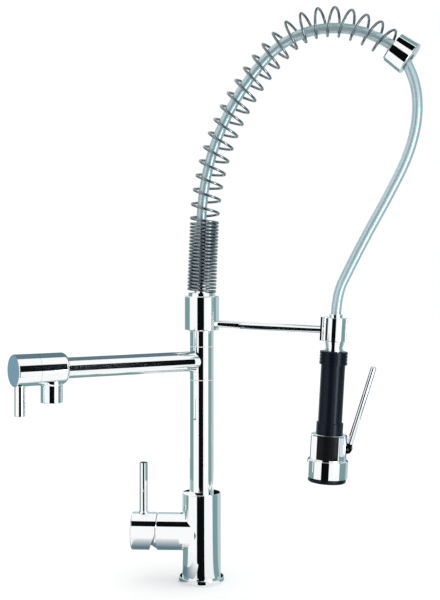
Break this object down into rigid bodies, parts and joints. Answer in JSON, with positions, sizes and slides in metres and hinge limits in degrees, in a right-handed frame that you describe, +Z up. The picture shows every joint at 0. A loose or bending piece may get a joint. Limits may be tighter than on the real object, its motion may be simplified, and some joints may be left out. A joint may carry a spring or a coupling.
{
  "type": "kitchen faucet with side spray",
  "caption": "Tall deck-mounted kitchen faucet with a lever mixer, a swivelling valve spout and a spring arch whose hose feeds a docked hand spray.",
  "frame": {"origin": "centre of the base flange's underside, on the deck", "axes": "+Z up; the mixer points along -X, the spring arch 8.5 degrees forward of +X, the spout towards -X and -Y"},
  "size_m": [0.4631, 0.1826, 0.7329],
  "materials": {
    "chrome": "mirror-polished chrome",
    "slip_ring": "smooth white",
    "hose": "smooth pale blue-grey",
    "black_plastic": "satin black",
    "grip_rubber": "satin black rubber",
    "brass": "machined",
    "steel": "machined",
    "white_plastic": "moulded"
  },
  "bodies": {
    "base": {"base_flange": "chrome", "deck_gasket": "grip_rubber", "threaded_shank": "brass", "rubber_deck_washer": "grip_rubber", "steel_deck_washer": "steel", "shank_nut": "brass", "mixer_body": "chrome", "mixer_cartridge": "white_plastic", "cartridge_seals": "grip_rubber", "cartridge_nut": "brass", "dome_trim": "chrome", "column_tube": "chrome", "swivel_spindle": "brass", "spindle_seals": "grip_rubber", "slip_rings": "slip_ring", "column_collar": "chrome", "spindle_circlip": "steel"},
    "mixer_turner": {"stem_yoke": "white_plastic", "stem_pin": "steel"},
    "mixer_handle": {"cartridge_stem": "steel", "handle_cap": "chrome", "mixer_lever": "chrome", "cap_screw": "steel"},
    "spout": {"swivel_sleeve": "chrome", "spout_arm": "chrome", "valve_body": "chrome", "outlet_nozzle": "chrome", "aerator": "white_plastic", "spout_headwork": "brass"},
    "knob": {"headwork_stem": "steel", "knob_cap": "chrome", "knob_lever": "chrome"},
    "upper": {"hub_collar": "chrome", "hub_bush": "white_plastic", "spring_seat": "chrome", "hose_nipple": "brass", "arch_spring": "chrome", "spring_hose": "hose", "end_collar": "chrome", "collar_guide": "black_plastic", "bracket_rod": "chrome", "cradle_clip": "chrome"},
    "handset": {"free_hose": "hose", "hose_ferrule": "chrome", "handset_connector": "chrome", "connector_flange": "chrome", "grip_core": "black_plastic", "grip_collar": "grip_rubber", "grip_sleeve": "grip_rubber", "grip_ring": "grip_rubber", "valve_housing": "chrome", "lever_pin": "steel", "plunger_spring": "steel", "spray_bell": "chrome", "spray_plate": "black_plastic", "nozzle_ring": "grip_rubber"},
    "trigger": {"spray_lever": "chrome"},
    "plunger": {"valve_plunger": "steel"}
  },
  "joints": [
    {"name": "mixer_turn", "type": "hinge", "parent": "base", "child": "mixer_turner", "pos_m": [0, 0, 0.0584], "axis": [-1, 0, 0], "range_deg": [-45, 45]},
    {"name": "mixer_tilt", "type": "hinge", "parent": "mixer_turner", "child": "mixer_handle", "pos_m": [-0.046, 0, 0.0584], "axis": [0, -1, 0], "range_deg": [0, 20]},
    {"name": "spout_swivel", "type": "hinge", "parent": "base", "child": "spout", "pos_m": [0, 0, 0.2632], "axis": [0, 0, 1], "range_deg": [-100, 55]},
    {"name": "spout_knob", "type": "hinge", "parent": "spout", "child": "knob", "pos_m": [-0.17321, -0.12585, 0.2632], "axis": [-0.809, -0.5878, 0], "range_deg": [0, 90]},
    {"name": "upper_swivel", "type": "hinge", "parent": "base", "child": "upper", "pos_m": [0, 0, 0.3005], "axis": [0, 0, 1], "range_deg": [-60, 100]},
    {"name": "handset_slide", "type": "slide", "parent": "upper", "child": "handset", "axis": [-0.0552, 0.0083, -0.9984], "range_m": [0, 0.03], "deforming": ["free_hose"]},
    {"name": "trigger_squeeze", "type": "hinge", "parent": "handset", "child": "trigger", "pos_m": [0.17333, -0.02591, 0.16397], "axis": [-0.1478, -0.989, 0], "range_deg": [0, 12], "stiffness_Nm_per_rad": 0.5, "springref_deg": -17.19},
    {"name": "plunger_push", "type": "slide", "parent": "handset", "child": "plunger", "axis": [-0.0552, 0.0083, -0.9984], "range_m": [0, 0.0034], "deforming": ["plunger_spring"]}
  ],
  "couplings": [
    {"joint": "plunger_push", "follows": "trigger_squeeze", "m_per_rad": 0.0155}
  ]
}
